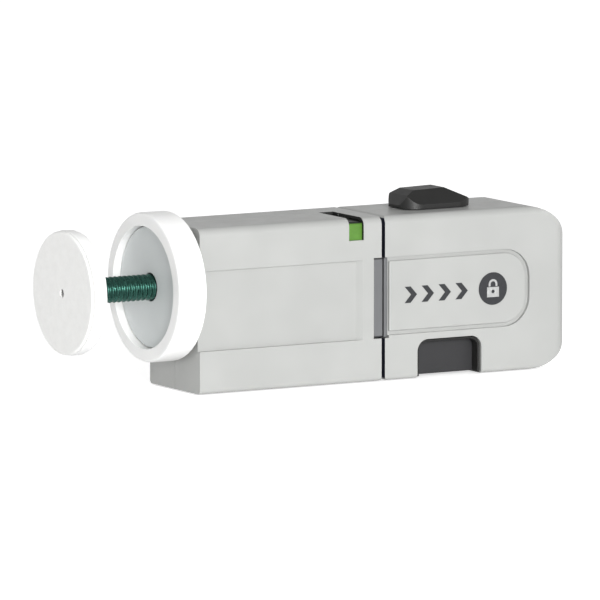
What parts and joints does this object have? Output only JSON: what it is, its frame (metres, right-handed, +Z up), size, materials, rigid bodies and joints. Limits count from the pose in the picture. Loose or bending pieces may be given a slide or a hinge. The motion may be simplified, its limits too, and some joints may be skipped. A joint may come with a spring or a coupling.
{
  "type": "stair gate latch",
  "caption": "Latch of a pressure-fit stair gate: wall cup on a threaded spindle, hand wheel and post housing on one side; lift-off handle with thumb slide and squeeze trigger on the other.",
  "frame": {"origin": "middle of the underside: halfway from the wall pad's face to the handle's far end, on the plane where the two shells of each half meet, at the height of the flat underside", "axes": "+X runs along the gate from the wall towards the leaf, -Y is the front, +Z is up"},
  "size_m": [0.2074, 0.056, 0.0696],
  "materials": {
    "shell_plastic": "light silver grey, fine satin moulding texture",
    "white_plastic": "white, semi-gloss",
    "cap_plastic": "mid grey, satin",
    "keeper_plastic": "grey, satin",
    "trigger_plastic": "dark grey, satin",
    "slide_plastic": "black, fine texture",
    "natural_plastic": "unpainted natural nylon",
    "flag_plastic": "green shut zone, red open zone, black top",
    "zinc_steel": "zinc-plated",
    "spring_steel": "drawn spring wire and ground pin",
    "pad_rubber": "soft white rubber"
  },
  "bodies": {
    "housing": {"housing_front": "shell_plastic", "housing_rear": "shell_plastic", "post_socket": "white_plastic", "spindle_guide": "natural_plastic", "bearing_bush": "natural_plastic", "thrust_washer": "zinc_steel", "keeper": "keeper_plastic", "indicator_spring": "spring_steel", "housing_screw_1": "zinc_steel", "housing_screw_2": "zinc_steel", "housing_screw_3": "zinc_steel", "housing_screw_4": "zinc_steel"},
    "indicator": {"indicator_flag": "flag_plastic"},
    "wheel": {"hand_wheel": "white_plastic", "wheel_cap": "cap_plastic", "spindle_nut": "zinc_steel"},
    "spindle": {"spindle": "zinc_steel"},
    "cup": {"wall_cup": "white_plastic", "wall_pad": "pad_rubber"},
    "handle": {"handle_front": "shell_plastic", "handle_rear": "shell_plastic", "badge_plate": "shell_plastic", "latch_face": "keeper_plastic", "rail_block": "white_plastic", "chassis": "natural_plastic", "crank_pin": "spring_steel", "bolt_spring": "spring_steel", "trigger_spring_front": "spring_steel", "trigger_spring_rear": "spring_steel", "trigger_frame_front": "slide_plastic", "trigger_frame_rear": "slide_plastic", "handle_screw_1": "zinc_steel", "handle_screw_2": "zinc_steel", "handle_screw_3": "zinc_steel", "handle_screw_4": "zinc_steel"},
    "thumb_slide": {"thumb_slide": "slide_plastic", "slide_screw": "zinc_steel", "upper_bolt": "natural_plastic"},
    "trigger": {"trigger": "trigger_plastic"},
    "crank": {"crank": "natural_plastic"},
    "lower_bolt": {"lower_bolt": "natural_plastic"}
  },
  "joints": [
    {"name": "wheel_turn", "type": "hinge", "parent": "housing", "child": "wheel", "pos_m": [-0.06345, 0, 0.039], "axis": [-1, 0, 0], "range_deg": [-3600, 3960]},
    {"name": "spindle_travel", "type": "slide", "parent": "housing", "child": "spindle", "axis": [-1, 0, 0], "range_m": [-0.0201, 0.0221]},
    {"name": "cup_swivel", "type": "hinge", "parent": "spindle", "child": "cup", "pos_m": [-0.09945, 0, 0.039], "axis": [1, 0, 0], "continuous": true},
    {"name": "handle_lift", "type": "slide", "parent": "housing", "child": "handle", "axis": [0, 0, 1], "range_m": [0, 0.016]},
    {"name": "thumb_draw", "type": "slide", "parent": "handle", "child": "thumb_slide", "axis": [1, 0, 0], "range_m": [0, 0.01], "stiffness_N_per_m": 350, "springref_m": -0.012, "deforming": ["bolt_spring"]},
    {"name": "indicator_travel", "type": "slide", "parent": "housing", "child": "indicator", "axis": [1, 0, 0], "range_m": [0, 0.0061], "deforming": ["indicator_spring"]},
    {"name": "trigger_squeeze", "type": "slide", "parent": "handle", "child": "trigger", "axis": [0, 0, 1], "range_m": [0, 0.004], "stiffness_N_per_m": 700, "springref_m": -0.004, "deforming": ["trigger_spring_front", "trigger_spring_rear"]},
    {"name": "crank_turn", "type": "hinge", "parent": "handle", "child": "crank", "pos_m": [0.04355, 0, 0.028], "axis": [0, -1, 0], "range_deg": [0, 30.5]},
    {"name": "lower_bolt_draw", "type": "slide", "parent": "handle", "child": "lower_bolt", "axis": [1, 0, 0], "range_m": [0, 0.0036]}
  ],
  "couplings": [
    {"joint": "spindle_travel", "follows": "wheel_turn", "m_per_rad": 0.00031831},
    {"joint": "indicator_travel", "follows": "thumb_draw", "ratio": 0.6},
    {"joint": "crank_turn", "follows": "trigger_squeeze", "rad_per_m": 128},
    {"joint": "lower_bolt_draw", "follows": "trigger_squeeze", "ratio": 0.86}
  ]
}
